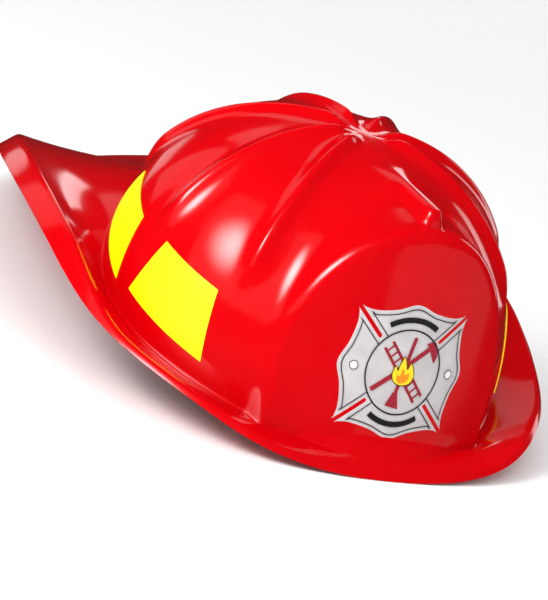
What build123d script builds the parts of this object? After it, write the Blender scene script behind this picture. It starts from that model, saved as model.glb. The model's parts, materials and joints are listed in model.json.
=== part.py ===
from build123d import *
from math import acos, atan2, cos, degrees, exp, hypot, pi, radians, sin, sqrt
import os

# Firefighter helmet for dress-up and play: a moulded shell with a long rear brim, printed film on it,
# and a child-size suspension inside whose rear band slides to fit the head.
# Sizes are millimetres. While the pieces are made, Y = 0 and X = 0 are the dome's axis, -Y is the front
# and Z = 0 is the front brim's edge. The last step tips the helmet onto its front edge and its tail.

# Shell
WALL = 1.9
DOME_HALF_WIDTH = 97.5
DOME_FRONT = 102.0
DOME_REAR = 92.5
DOME_EGG = 0.09          # how much the plan is slimmer than an ellipse between its axes
DOME_POWER = 2.15        # 2 is an ellipsoid, more is squarer at the shoulder
CROWN_HEIGHT = 117.0
FOLD_HEIGHT = 26.0       # mean height of the line where dome and brim meet
FOLD_TILT = 22.3         # how far that line drops at the front and rises at the rear
FOLD_ARCH = 3.1
HUB_RADIUS = 6.4

# Seams that run from the hub down the dome
SEAM_HEIGHT = 4.2
SEAM_WIDTH = 5.6
SEAM_ANGLES = (54, 86, 135, 180)
SEAM_FOOT = (55.0, 80.0)         # heights between which a seam fades in
REAR_SEAM_FOOT = (86.0, 108.0)

# Front shield moulded in the shell, and the crest behind it
CORE_HEIGHT = 32.0               # the dome is shaped along rays from this height on its axis
SHIELD_DEPTH = 89.0
SHIELD_MIDDLE = 44.0
SHIELD_LEAN = 0.19
SHIELD_RADIUS = 119.0
SHIELD_HALF_WIDTH = 58.3
SHIELD_RISE = 73.0
SHIELD_DRAFT = 0.0015
SHIELD_EDGE = 5.0
SHIELD_ROOT = 4.0
SHIELD_FOOT = 7.5                # radius of the hollow between its face and the brim
CREST_HEIGHT = 82.5              # above the core
CREST_FRONT = 72.5
CREST_SPREAD = 9.5
FINIAL_HALF_WIDTH = 4.6
FINIAL_ANGLES = (62.0, 54.0)
CREST_LOW_ANGLES = (40.0, 45.0)

# Brim
BRIM_FRONT = 7.5                 # from the dome's front to the front edge
BRIM_SIDE = 29.0
TAIL_LENGTH = 152.0              # from the dome's rear to the tail's tip
TAIL_DROP = 25.5
LIP_DROP = 3.0
TAIL_LIP_DROP = 9.0
LIP_SLOPE = 0.85
TAIL_LIP_ANGLES = (60.0, 100.0)

# Printed film
FILM = 0.3
FILM_GAP = 0.1
STRIPE_ANGLES = {"side": 70.6, "rear": 105.8}
STRIPE_LOW_WIDTH = 48.0
STRIPE_TOP_WIDTH = 34.0
STRIPE_RISE = (6.3, 23.2)        # in degrees up the dome
STRIPE_SAG = 0.02                # in radians, how far its front end is lower
STRIPE_HALF_TURN = 17.0          # in degrees round the dome, before its slanting sides are cut
BADGE_HALF_WIDTH = 28.6
BADGE_HALF_HEIGHT = 26.2
BADGE_EDGE = ((-0.72, -1.0), (-0.36, 0.6), (0.0, 3.8), (0.36, 0.6), (0.72, -1.0))    # share along, bulge
BADGE_SLOT = 1.9
BADGE_RING = 19.0

# Suspension
BAND = 1.6
BAND_LOW = 30.0
BAND_HEIGHT = 24.0
BAND_SIDE_GAP = 18.5             # dome's outside to band's outside
BAND_FRONT_GAP = 7.0
BAND_BEND_Y = -10.0              # where the front arc becomes the straight side runs
NAPE_HEIGHT = 20.0
NAPE_REAR_GAP = 12.0             # left when the rear band is fully out
NAPE_BEND_Y = 19.0
NAPE_END_Y = 10.0
SLIDE_TRAVEL = 12.0
SLIDE_CLEARANCE = 0.3
SLIDE_STUD_Y = 16.0
STUD_RADIUS = 2.5
STUD_HEAD_RADIUS = 4.5
STUD_HEAD = 1.2
SLOT_END_WALL = 5.0

BRACKET_WIDTH = 12.0
BRACKET_REACH = 32.0
BRACKET_SIDE_Y = -8.0
BRACKET_FRONT_ANGLE = 58.0
RIVET_RADIUS = 1.8
RIVET_HEAD_RADIUS = 3.5
RIVET_HEAD = 0.9
RIVET_DEPTH = 5.0

STRAP = 1.2
STRAP_WIDTH = 14.0
STRAP_FOOT = 7.0                 # the straight foot below a strap's arch
STRAP_CROWN_GAP = 17.0
CROWN_WASHER = 1.6
CROWN_HEAD_RADIUS = 5.0
CROWN_SHANK_RADIUS = 2.0
CROWN_WASHER_RADIUS = 6.0
CROWN_PAD_RADIUS = 16.0
CROWN_PAD = 6.0
BROW_PAD = 4.0
BROW_PAD_HEIGHT = 15.5
BROW_PAD_ANGLE = 50.0

SECTIONS = 84                    # radial sections of half the shell
SECTION_GATHER = 0.35            # how much closer they stand near the front and rear
RISE_POINTS = 34                 # points up each section
RISE_GATHER = 1.5                # more than 1 gathers them near the fold


def ease(start, end, value):
    share = min(1.0, max(0.0, (value - start) / (end - start)))
    return share * share * (3 - 2 * share)


def soft_max(a, b, blend):
    near = max(blend - abs(a - b), 0.0) / blend
    return max(a, b) + near * near * blend / 4


def soft_min(a, b, blend):
    return -soft_max(-a, -b, blend)


def plain_dome(turn, rise, inset):
    """The dome without its seams and shield. turn is 0 at the front and pi at the rear."""
    side, front = sin(turn), cos(turn)
    reach = DOME_FRONT if front > 0 else DOME_REAR
    fold_x = (DOME_HALF_WIDTH - inset) * side * (1 - DOME_EGG * front * front)
    fold_y = -(reach - inset) * front * (1 - DOME_EGG * side * side)
    fold_z = FOLD_HEIGHT - FOLD_TILT * front + FOLD_ARCH * cos(2 * turn)
    norm = (cos(rise) ** DOME_POWER + sin(rise) ** DOME_POWER) ** (1 / DOME_POWER)
    out, up = cos(rise) / norm, sin(rise) / norm
    return fold_x * out, fold_y * out, fold_z + (CROWN_HEIGHT - inset - fold_z) * up


def seam_height(turn, x, y, z, inset):
    """Height of the raised seams at a point of the plain dome."""
    radius = hypot(x, y)
    width = (SEAM_WIDTH - inset / 2) * (1 - exp(-radius / (2 * HUB_RADIUS)))
    total = 0.0
    for angle in SEAM_ANGLES:
        foot = REAR_SEAM_FOOT if angle == 180 else SEAM_FOOT
        across = abs(turn - radians(angle)) * radius / width
        total += SEAM_HEIGHT * ease(*foot, z) / (1 + across * across) ** 2
    return total * ease(HUB_RADIUS, 2.8 * HUB_RADIUS, radius)


def shield_face(dx, dy, dz, inset):
    """How far the shield's bowed, leaning face is along a ray from the core."""
    bow = dx * dx / (2 * SHIELD_RADIUS)
    fall = SHIELD_LEAN * dz - dy
    offset = SHIELD_LEAN * (CORE_HEIGHT - SHIELD_MIDDLE) - (SHIELD_DEPTH - inset)
    return -2 * offset / (fall + sqrt(fall * fall - 4 * bow * offset))


def shield_flank(dx, dy, dz, inset):
    """How far the shield's arched side wall is along a ray from the core."""
    arch = hypot(dx / (SHIELD_HALF_WIDTH - inset), max(dz, 0.0) / (SHIELD_RISE - inset))
    return (1 + SHIELD_DRAFT * SHIELD_DEPTH) / (arch - SHIELD_DRAFT * dy)


def foot_share(height):
    """Share of the shield's foot flare at a height above the fold: a hollow quarter round."""
    down = 1 - min(max(height, 0.0) / SHIELD_FOOT, 1.0)
    return 1 - sqrt(1 - down * down)


def shield_blend(reach, fold_reach, dx, dy, dz, height, inset):
    """The dome's reach along a ray once the shield is cut into it and stands out of it."""
    face = shield_face(dx, dy, dz, inset)
    face += max(fold_reach - face, 0.0) * foot_share(height)
    flank = shield_flank(dx, dy, dz, inset)
    block = soft_min(face, flank, SHIELD_EDGE)
    beside = soft_max(reach, block, SHIELD_ROOT)
    shaped = beside + (block - beside) * ease(0.0, 2 * SHIELD_EDGE, flank - face)
    return reach + (shaped - reach) * ease(0.05, 0.3, -dy)


def crest_rise(reach, dx, dy, dz, hub_distance, inset):
    """How much the crest and its blunt finial add along a ray from the core."""
    ridge = soft_min((CREST_HEIGHT - 2 * inset) / dz, (CREST_FRONT - 3 * inset) / max(-dy, 0.05), SHIELD_ROOT)
    angle = degrees(atan2(dz, -dy))
    across = abs(dx) * reach
    spread = exp(-((across / (CREST_SPREAD - inset)) ** 1.6))
    blunt = exp(-((across / FINIAL_HALF_WIDTH) ** 4))
    share = spread + (blunt - spread) * ease(*FINIAL_ANGLES, angle)
    share *= ease(*CREST_LOW_ANGLES, angle) * ease(HUB_RADIUS, 3 * HUB_RADIUS, hub_distance)
    return max(ridge - reach, 0.0) * share


def dome(turn, rise, inset=0.0):
    """A point of the moulded dome. inset is how far it lies inside the outer surface."""
    x, y, z = plain_dome(turn, rise, inset)
    reach = sqrt(x * x + y * y + (z - CORE_HEIGHT) ** 2)
    dx, dy, dz = x / reach, y / reach, (z - CORE_HEIGHT) / reach
    fold_reach = reach
    reach += seam_height(turn, x, y, z, inset)
    if dy < 0:
        height = z - plain_dome(turn, 0.0, inset)[2]
        reach = shield_blend(reach, fold_reach, dx, dy, dz, height, inset)
        if dz > 0.2:
            reach += crest_rise(reach, dx, dy, dz, hypot(x, y), inset)
    return Vector(dx * reach, dy * reach, CORE_HEIGHT + dz * reach)


def brim_controls():
    """Control points of half the brim's lower edge, from the front to the tail."""
    half = DOME_HALF_WIDTH + BRIM_SIDE
    front = -(DOME_FRONT + BRIM_FRONT)
    tail = DOME_REAR + TAIL_LENGTH
    return [
        Vector(0, front, 0), Vector(0.42 * half, front, 0),
        Vector(0.745 * half, 0.75 * front, 16), Vector(0.965 * half, 0.22 * front, 20.5),
        Vector(half, 0.125 * tail, 42.3), Vector(0.755 * half, 0.627 * tail, 34.5),
        Vector(0.165 * half, 0.976 * tail, 11 - TAIL_DROP), Vector(0, tail, -TAIL_DROP),
    ]


def spline_point(controls, share):
    """A point of the clamped uniform cubic B-spline with these control points."""
    spans = len(controls) - 3
    knots = [0.0] * 3 + [i / spans for i in range(spans + 1)] + [1.0] * 3
    share = min(share, 1 - 1e-9)
    span = 3 + int(share * spans)
    points = [controls[span - 3 + j] for j in range(4)]
    for level in range(1, 4):
        for j in range(3, level - 1, -1):
            low, high = knots[j + span - 3], knots[j + 1 + span - level]
            part = (share - low) / (high - low)
            points[j] = points[j - 1] * (1 - part) + points[j] * part
    return points[3]


def brim_edge(turn):
    """Lower edge of the brim, the outward direction there and the lip's height."""
    controls = brim_controls()
    share = turn / pi
    step = 0.002
    along = spline_point(controls, min(share + step, 1)) - spline_point(controls, max(share - step, 0))
    edge = spline_point(controls, share)
    outward = Vector(along.Y * ease(0, 2 * TAIL_LIP_DROP, edge.X), -along.X, 0).normalized()
    lip = LIP_DROP + (TAIL_LIP_DROP - LIP_DROP) * ease(*TAIL_LIP_ANGLES, degrees(turn))
    return edge, outward, lip


def hub_rise():
    return acos(HUB_RADIUS / DOME_HALF_WIDTH)


def shell_section(turn):
    """Closed outline of the wall, from the hub down the outside, round the brim's edge and back up."""
    rises = [hub_rise() * (i / (RISE_POINTS - 1)) ** RISE_GATHER for i in range(RISE_POINTS)]
    outer = [dome(turn, rise) for rise in reversed(rises)]
    inner = [dome(turn, rise, WALL) for rise in rises]
    inner[0] -= Vector(0, 0, WALL)
    outer[0] = Vector(outer[0].X, outer[0].Y, CROWN_HEIGHT)
    inner[-1] = Vector(inner[-1].X, inner[-1].Y, CROWN_HEIGHT - WALL)
    edge, outward, lip = brim_edge(turn)
    crease = edge - outward * lip * LIP_SLOPE + Vector(0, 0, lip)
    edge_inner = edge - outward * WALL
    crease_inner = crease - outward * WALL * 0.7 - Vector(0, 0, WALL)
    corners = [outer[-1], crease, edge, edge_inner, crease_inner, inner[0]]
    if turn in (0, pi):
        outer, inner, corners = [[Vector(0, p.Y, p.Z) for p in row] for row in (outer, inner, corners)]
    shares = [i / (RISE_POINTS - 1) for i in range(RISE_POINTS)]
    edges = [Edge.make_spline(outer, parameters=shares)]
    edges += [Edge.make_line(a, b) for a, b in zip(corners, corners[1:])]
    edges += [Edge.make_spline(inner, parameters=shares), Edge.make_line(inner[-1], outer[0])]
    return Wire(edges)


def make_shell():
    """Half the wall is lofted round the dome's axis, mirrored, and capped at the crown's hub."""
    steps = [i / SECTIONS for i in range(SECTIONS + 1)]
    turns = [pi * (s - SECTION_GATHER * sin(2 * pi * s) / (2 * pi)) for s in steps]
    turns[0], turns[-1] = 0, pi
    half = Solid.make_loft([shell_section(turn) for turn in turns])
    ring = half.fuse(half.mirror(Plane.YZ))
    hole = ring.faces().filter_by(lambda face: face.bounding_box().max.Y < 2 * HUB_RADIUS)
    caps = []
    for height in (CROWN_HEIGHT, CROWN_HEIGHT - WALL):
        rim = hole.edges().filter_by(lambda edge: abs(edge.center().Z - height) < WALL / 4)
        caps.append(Face(Wire(rim)))
    walls = [face for face in ring.faces() if face not in hole]
    return Solid(Shell(walls + caps))


def make_stripe(angle):
    """Reflective film that follows the dome, wider at its lower edge."""
    low, top = [radians(rise) for rise in STRIPE_RISE]
    wires = []
    for i in range(9):
        turn = radians(angle + STRIPE_HALF_TURN * (i / 4 - 1))
        sag = STRIPE_SAG * (1 - i / 4)
        rises = [low - sag + (top - low) * j / 8 for j in range(9)]
        inside = [dome(turn, rise, -FILM_GAP) for rise in rises]
        outside = [dome(turn, rise, -FILM_GAP - FILM) for rise in reversed(rises)]
        wires.append(Wire([
            Edge.make_spline(inside, parameters=[j / 8 for j in range(9)]), Edge.make_line(inside[-1], outside[0]),
            Edge.make_spline(outside, parameters=[j / 8 for j in range(9)]), Edge.make_line(outside[-1], inside[0]),
        ]))
    strip = Solid.make_loft(wires)
    heading = radians(angle)
    plane = Plane(origin=(0, 0, 0), x_dir=(cos(heading), sin(heading), 0), z_dir=(sin(heading), -cos(heading), 0))
    bottom = dome(heading, low).Z
    height = dome(heading, top).Z - bottom
    slope = (STRIPE_LOW_WIDTH - STRIPE_TOP_WIDTH) / 2 / height
    corners = []
    for side, level in ((-1, -1), (1, -1), (1, 2), (-1, 2)):
        corners.append((side * (STRIPE_LOW_WIDTH / 2 - slope * level * height), bottom + level * height))
    return (strip & extrude(plane * make_face(Polyline(*corners, close=True)), 2 * DOME_HALF_WIDTH)).solid()


def badge_outline():
    """Four flared arms round a disc, with a slot between each two arms."""
    w, h = BADGE_HALF_WIDTH, BADGE_HALF_HEIGHT
    across = [(-w, h)] + [(share * w, h + bulge) for share, bulge in BADGE_EDGE] + [(w, h)]
    down = [(w, h)] + [(w + bulge, -share * h) for share, bulge in BADGE_EDGE] + [(w, -h)]
    face = make_face(
        Spline(*across) + Spline(*down)
        + Spline(*[(-x, -y) for x, y in across]) + Spline(*[(-x, -y) for x, y in down])
    )
    reach = hypot(w, h)
    start = BADGE_RING + 2.5
    for angle in (atan2(h, w), pi - atan2(h, w)):
        for side in (1, -1):
            middle = side * (start + reach) / 2
            slot = Rectangle(reach - start + 4, BADGE_SLOT)
            face -= Pos(middle * cos(angle), middle * sin(angle)) * Rot(0, 0, degrees(angle)) * slot
    return face


def make_badge():
    """Printed film on the front shield, bowed and leaning as the shield is."""
    reach = 1.3 * BADGE_HALF_WIDTH
    lean = Vector(0, SHIELD_LEAN, 1)
    rows = []
    for offset in (FILM_GAP, FILM_GAP + FILM):
        xs = [reach * (i / 6 - 1) for i in range(13)]
        rows.append([Vector(x, x * x / (2 * SHIELD_RADIUS) - SHIELD_DEPTH - offset, 0) for x in xs])
    low, high = rows
    profile = Wire([
        Edge.make_spline(low), Edge.make_line(low[-1], high[-1]),
        Edge.make_spline(list(reversed(high))), Edge.make_line(high[0], low[0]),
    ])
    sheet = extrude(Face(profile), amount=2 * reach, dir=lean, both=True)
    cutter = extrude(Plane.XZ * badge_outline(), amount=2 * SHIELD_DEPTH, both=True)
    return (Pos(0, 0, SHIELD_MIDDLE) * (sheet & cutter)).solid()


def band_half_width():
    return DOME_HALF_WIDTH - BAND_SIDE_GAP


def band_front():
    return SHIELD_DEPTH - BAND_FRONT_GAP


def nape_half_width():
    return band_half_width() - BAND - SLIDE_CLEARANCE


def band_ring(half_width, reach, bend_y, end_y, thickness):
    """Plan of a U-shaped band: half an ellipse and two straight runs. reach and end_y carry the sign."""
    toward = 1 if reach > bend_y else -1
    plan = Sketch()
    for size, sign in ((0, 1), (thickness, -1)):
        arc = Pos(0, bend_y) * Ellipse(half_width - size, abs(reach - bend_y) - size)
        keep = Pos(0, bend_y + toward * 200) * Rectangle(600, 400)
        run = Pos(0, (bend_y + end_y) / 2) * Rectangle(2 * (half_width - size), abs(end_y - bend_y))
        body = (arc & keep) + run
        plan = plan + body if sign > 0 else plan - body
    return plan


def x_pin(x_low, x_high, y, z, radius):
    """A cylinder along X."""
    middle = Pos((x_low + x_high) / 2, y, z)
    return middle * Rot(0, 90, 0) * Cylinder(radius, abs(x_high - x_low))


def make_brow_band():
    """Front band, with a slot in each side run for the rear band's studs."""
    middle = BAND_LOW + BAND_HEIGHT / 2
    slot_low = SLIDE_STUD_Y - STUD_RADIUS - SLIDE_CLEARANCE
    slot_high = SLIDE_STUD_Y + SLIDE_TRAVEL + STUD_RADIUS + SLIDE_CLEARANCE
    plan = band_ring(band_half_width(), -band_front(), BAND_BEND_Y, slot_high + SLOT_END_WALL, BAND)
    band = extrude(Pos(0, 0, BAND_LOW) * plan, BAND_HEIGHT)
    width = 2 * (STUD_RADIUS + SLIDE_CLEARANCE)
    slot = SlotOverall(slot_high - slot_low, width)
    cutter = extrude(Plane.YZ * (Pos((slot_low + slot_high) / 2, middle) * slot), 2 * DOME_HALF_WIDTH, both=True)
    return band - cutter


def make_nape_band():
    """Rear band, which slides inside the front band's side runs."""
    reach = DOME_REAR - NAPE_REAR_GAP - SLIDE_TRAVEL
    low = BAND_LOW + (BAND_HEIGHT - NAPE_HEIGHT) / 2
    plan = band_ring(nape_half_width(), reach, NAPE_BEND_Y, NAPE_END_Y, BAND)
    band = extrude(Pos(0, 0, low) * plan, NAPE_HEIGHT)
    hole = x_pin(-DOME_HALF_WIDTH, DOME_HALF_WIDTH, SLIDE_STUD_Y, BAND_LOW + BAND_HEIGHT / 2, STUD_RADIUS)
    return band - hole


def make_slide_studs():
    """A stud on each side, through the rear band's hole and the front band's slot."""
    z = BAND_LOW + BAND_HEIGHT / 2
    inside = nape_half_width() - BAND
    outside = band_half_width() + SLIDE_CLEARANCE
    studs = []
    for side in (-1, 1):
        stud = x_pin(side * (inside - STUD_HEAD), side * inside, SLIDE_STUD_Y, z, STUD_HEAD_RADIUS)
        stud += x_pin(side * inside, side * outside, SLIDE_STUD_Y, z, STUD_RADIUS)
        stud += x_pin(side * outside, side * (outside + STUD_HEAD), SLIDE_STUD_Y, z, STUD_HEAD_RADIUS)
        studs.append(stud.solid())
    return studs


def bracket_frame(place):
    """Where a bracket meets the front band: X points outwards to the shell."""
    z = BAND_LOW + BAND_HEIGHT / 2
    half = band_half_width()
    side = -1 if place.endswith("right") else 1
    if place.startswith("side"):
        return Location((side * half, BRACKET_SIDE_Y, z), (0, 0, 0 if side > 0 else 180))
    depth = band_front() + BAND_BEND_Y
    angle = radians(BRACKET_FRONT_ANGLE)
    x, y = half * sin(angle), BAND_BEND_Y - depth * cos(angle)
    heading = degrees(atan2(-cos(angle) / depth, side * sin(angle) / half))
    return Location((side * x, y, z), (0, 0, heading))


def rivet_start(place):
    """Distance from the band's outer face in to the face that a rivet's head bears on."""
    return -BAND - (STRAP if place.startswith("side") else 0)


def local_pin(low, high, radius):
    return Pos((low + high) / 2, 0, 0) * Rot(0, 90, 0) * Cylinder(radius, high - low)


def rivet_hole(place):
    return bracket_frame(place) * local_pin(-3 * BAND, RIVET_DEPTH, RIVET_RADIUS)


def make_bracket(place, shell):
    """Block from the front band to the shell's inner face."""
    block = Pos(BRACKET_REACH / 2, 0, 0) * Box(BRACKET_REACH, BRACKET_WIDTH, BRACKET_WIDTH)
    edges = block.edges().filter_by(Axis.X)
    block = bracket_frame(place) * fillet(edges, BRACKET_WIDTH / 5)
    pieces = (block - shell - rivet_hole(place)).solids()
    return pieces.sort_by(lambda piece: (piece.center() - bracket_frame(place).position).length)[0]


def make_band_rivet(place):
    face = rivet_start(place)
    rivet = local_pin(face, RIVET_DEPTH, RIVET_RADIUS) + local_pin(face - RIVET_HEAD, face, RIVET_HEAD_RADIUS)
    return (bracket_frame(place) * rivet).solid()


def front_rivet_z():
    return BAND_LOW + BAND_HEIGHT - STRAP_FOOT / 2


def y_pin(y_low, y_high, z, radius):
    return Pos(0, (y_low + y_high) / 2, z) * Rot(90, 0, 0) * Cylinder(radius, abs(y_high - y_low))


def make_front_rivet():
    """Joins the front strap's foot to the front band."""
    outside = -band_front()
    inside = outside + BAND + STRAP
    z = front_rivet_z()
    rivet = y_pin(outside, inside, z, RIVET_RADIUS)
    rivet += y_pin(outside - RIVET_HEAD, outside, z, RIVET_HEAD_RADIUS)
    rivet += y_pin(inside, inside + RIVET_HEAD, z, RIVET_HEAD_RADIUS)
    return rivet.solid()


def strap_profile(half, top, quarter):
    """Half-ellipse arch with straight feet, drawn across (X) and up (Y)."""
    foot_low = BAND_LOW + BAND_HEIGHT - STRAP_FOOT
    foot_top = BAND_LOW + BAND_HEIGHT
    plan = Sketch()
    for size, sign in ((0, 1), (STRAP, -1)):
        arch = Pos(0, foot_top) * Ellipse(half - size, top - foot_top - size)
        arch &= Pos(0, foot_top + 200) * Rectangle(600, 400)
        feet = Pos(0, (foot_low + foot_top) / 2) * Rectangle(2 * (half - size), foot_top - foot_low)
        body = arch + feet
        plan = plan + body if sign > 0 else plan - body
    if quarter:
        plan &= Pos(-300 + STRAP_WIDTH / 2, 0) * Rectangle(600, 1000)
    return plan


def strap_top():
    return CROWN_HEIGHT - STRAP_CROWN_GAP


def crown_pin(low, high, radius):
    return Pos(0, BRACKET_SIDE_Y, (low + high) / 2) * Cylinder(radius, high - low)


def make_side_strap():
    """Strap over the head from one side of the front band to the other."""
    plan = strap_profile(band_half_width() - BAND, strap_top(), False)
    strap = extrude(Plane.XZ * plan, STRAP_WIDTH / 2, both=True)
    strap = Pos(0, BRACKET_SIDE_Y, 0) * strap - crown_pin(0, 2 * CROWN_HEIGHT, CROWN_SHANK_RADIUS)
    return strap - rivet_hole("side_left") - rivet_hole("side_right")


def make_front_strap():
    """Strap from the brow up to the crown, under the side strap."""
    half = band_front() - BAND + BRACKET_SIDE_Y
    plan = strap_profile(half, strap_top() - STRAP, True)
    strap = Pos(0, BRACKET_SIDE_Y, 0) * extrude(Plane.YZ * plan, STRAP_WIDTH / 2, both=True)
    strap -= crown_pin(0, 2 * CROWN_HEIGHT, CROWN_SHANK_RADIUS)
    return strap - y_pin(-SHIELD_DEPTH, 0, front_rivet_z(), RIVET_RADIUS)


def washer_low():
    return strap_top() - 2 * STRAP - CROWN_WASHER


def make_crown_rivet():
    top = strap_top()
    rivet = crown_pin(top, top + STUD_HEAD, CROWN_HEAD_RADIUS)
    rivet += crown_pin(top - 2 * STRAP, top, CROWN_SHANK_RADIUS)
    rivet += crown_pin(washer_low(), top - 2 * STRAP, CROWN_WASHER_RADIUS)
    return rivet.solid()


def make_brow_pad():
    """Foam against the forehead, along the front band's inner face."""
    half = band_half_width() - BAND
    reach = band_front() - BAND
    plan = band_ring(half, -reach, BAND_BEND_Y, BAND_BEND_Y + 1, BROW_PAD)
    limit = half * sin(radians(BROW_PAD_ANGLE))
    plan &= Pos(0, BAND_BEND_Y - 200) * Rectangle(2 * limit, 400)
    return extrude(Pos(0, 0, BAND_LOW + 1) * plan, BROW_PAD_HEIGHT)


def rest_placement():
    """Tips the helmet onto its front edge and tail, with the origin under the middle of its box."""
    front, tail = brim_controls()[0], brim_controls()[-1]
    tip = atan2(front.Z - tail.Z, tail.Y - front.Y)
    ends = [Vector(0, p.Y * cos(tip) - p.Z * sin(tip), p.Y * sin(tip) + p.Z * cos(tip)) for p in (front, tail)]
    return Pos(0, -(ends[0].Y + ends[1].Y) / 2, -ends[0].Z) * Rot(degrees(tip), 0, 0)


def make_pieces():
    shell = make_shell()
    places = ("front_left", "front_right", "side_left", "side_right")
    pieces = {"shell": shell, "front_badge": make_badge()}
    for name, angle in STRIPE_ANGLES.items():
        stripe = make_stripe(angle)
        pieces[f"{name}_stripe_left"] = stripe
        pieces[f"{name}_stripe_right"] = stripe.mirror(Plane.YZ)
    brow_band = make_brow_band() - y_pin(-SHIELD_DEPTH, 0, front_rivet_z(), RIVET_RADIUS)
    for place in places:
        brow_band -= rivet_hole(place)
        pieces[f"bracket_{place}"] = make_bracket(place, shell)
    pieces["brow_band"] = brow_band.solid()
    pieces["nape_band"] = make_nape_band().solid()
    pieces["slide_studs"] = Compound(children=make_slide_studs())
    rivets = [(make_band_rivet(place) - pieces["brow_band"]).solid() for place in places]
    pieces["band_rivets"] = Compound(children=rivets + [make_front_rivet()])
    side_strap = (make_side_strap() - brow_band).solid()
    front_strap = (make_front_strap() - brow_band - side_strap).solid()
    pieces["side_strap"] = side_strap
    pieces["front_strap"] = front_strap
    pieces["crown_rivet"] = (make_crown_rivet() - front_strap).solid()
    pieces["crown_pad"] = crown_pin(washer_low() - CROWN_PAD, washer_low(), CROWN_PAD_RADIUS).solid()
    pieces["brow_pad"] = make_brow_pad().solid()
    return pieces


os.makedirs("parts", exist_ok=True)
placement = rest_placement()
for node, piece in make_pieces().items():
    export_step(placement * piece, f"parts/{node}.step")
print("tip about X", placement.orientation.X, "then move", placement.position)
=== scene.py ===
"""Looks for a dress-up firefighter helmet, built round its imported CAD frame."""

import json

import bpy
import numpy as np
from math import atan2, cos, hypot, pi, radians, sin, sqrt
from mathutils import Matrix, Vector


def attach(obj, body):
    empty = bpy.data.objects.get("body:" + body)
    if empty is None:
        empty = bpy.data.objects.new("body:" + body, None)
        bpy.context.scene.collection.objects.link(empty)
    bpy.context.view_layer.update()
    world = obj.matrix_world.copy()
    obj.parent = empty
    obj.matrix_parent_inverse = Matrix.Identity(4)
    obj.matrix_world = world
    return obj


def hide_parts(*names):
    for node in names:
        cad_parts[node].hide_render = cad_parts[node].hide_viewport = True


bl_info = {
    "name": "Firefighter helmet",
    "version": (1, 0, 0),
    "blender": (4, 5, 0),
    "location": "3D View > Sidebar > Helmet",
    "description": "Builds the shell, printed film, suspension and stage of a dress-up firefighter helmet",
    "category": "Object",
}

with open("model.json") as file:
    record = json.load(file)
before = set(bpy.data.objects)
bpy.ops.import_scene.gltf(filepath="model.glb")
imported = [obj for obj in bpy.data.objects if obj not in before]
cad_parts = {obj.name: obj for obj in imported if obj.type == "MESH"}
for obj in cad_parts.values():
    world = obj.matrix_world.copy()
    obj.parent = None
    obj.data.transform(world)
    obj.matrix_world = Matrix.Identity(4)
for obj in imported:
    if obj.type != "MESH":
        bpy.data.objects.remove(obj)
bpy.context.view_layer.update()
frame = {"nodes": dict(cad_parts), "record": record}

# The shell's form, in millimetres: Y = 0 and X = 0 are the dome's axis, -Y is the front and
# Z = 0 the front edge of the brim, before the helmet is tipped onto its front edge and tail.
WALL = 1.9
DOME_HALF_WIDTH = 97.5
DOME_FRONT = 102.0
DOME_REAR = 92.5
DOME_EGG = 0.09
DOME_POWER = 2.15
CROWN_HEIGHT = 117.0
FOLD_HEIGHT = 26.0
FOLD_TILT = 22.3
FOLD_ARCH = 3.1
HUB_RADIUS = 6.4
SEAM_HEIGHT = 4.2
SEAM_WIDTH = 5.6
SEAM_ANGLES = (54, 86, 135, 180)
SEAM_FOOT = (55.0, 80.0)
REAR_SEAM_FOOT = (86.0, 108.0)
CORE_HEIGHT = 32.0
SHIELD_DEPTH = 89.0
SHIELD_MIDDLE = 44.0
SHIELD_LEAN = 0.19
SHIELD_RADIUS = 119.0
SHIELD_HALF_WIDTH = 58.3
SHIELD_RISE = 73.0
SHIELD_DRAFT = 0.0015
SHIELD_EDGE = 5.0
SHIELD_ROOT = 4.0
SHIELD_FOOT = 7.5
CREST_HEIGHT = 82.5
CREST_FRONT = 72.5
CREST_SPREAD = 9.5
FINIAL_HALF_WIDTH = 4.6
FINIAL_ANGLES = (62.0, 54.0)
CREST_LOW_ANGLES = (40.0, 45.0)
BRIM_FRONT = 7.5
BRIM_SIDE = 29.0
TAIL_LENGTH = 152.0
TAIL_DROP = 25.5
LIP_DROP = 3.0
TAIL_LIP_DROP = 9.0
LIP_SLOPE = 0.85
TAIL_LIP_ANGLES = (60.0, 100.0)
FILM_GAP = 0.1
FILM = 0.3
STRIPE_ANGLES = {"side": 70.6, "rear": 105.8}
STRIPE_LOW_WIDTH = 48.0
STRIPE_TOP_WIDTH = 34.0
STRIPE_RISE = (6.3, 23.2)
STRIPE_SAG = 0.02
STRIPE_HALF_TURN = 17.0
BADGE_HALF_WIDTH = 28.6
BADGE_HALF_HEIGHT = 26.2
BADGE_EDGE = ((-0.72, -1.0), (-0.36, 0.6), (0.0, 3.8), (0.36, 0.6), (0.72, -1.0))
BADGE_SLOT = 1.9
BADGE_RING = 19.0

TURNS = 250          # columns over half the shell
RISES = 64           # rows up the dome
MM = 0.001
MERGE = 1e-6         # corners closer than this, in metres, are one


class HelmetShape(bpy.types.PropertyGroup):
    """Roundings and thin layers that the frame leaves sharp or flat."""

    fold_round: bpy.props.FloatProperty(
        name="Fold rounding", description="Run-out of the round where the dome meets the brim", default=0.0015,
        unit="LENGTH")
    crease_round: bpy.props.FloatProperty(
        name="Lip rounding", description="Run-out of the round where the brim turns down", default=0.0022,
        unit="LENGTH")
    edge_round: bpy.props.FloatProperty(
        name="Moulded edge rounding", description="Bevel along the edges of bands, blocks and rivets",
        default=0.0004, unit="LENGTH")
    line_width: bpy.props.FloatProperty(
        name="Printed line", description="Width of the badge's black lines", default=0.00045, unit="LENGTH")


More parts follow.
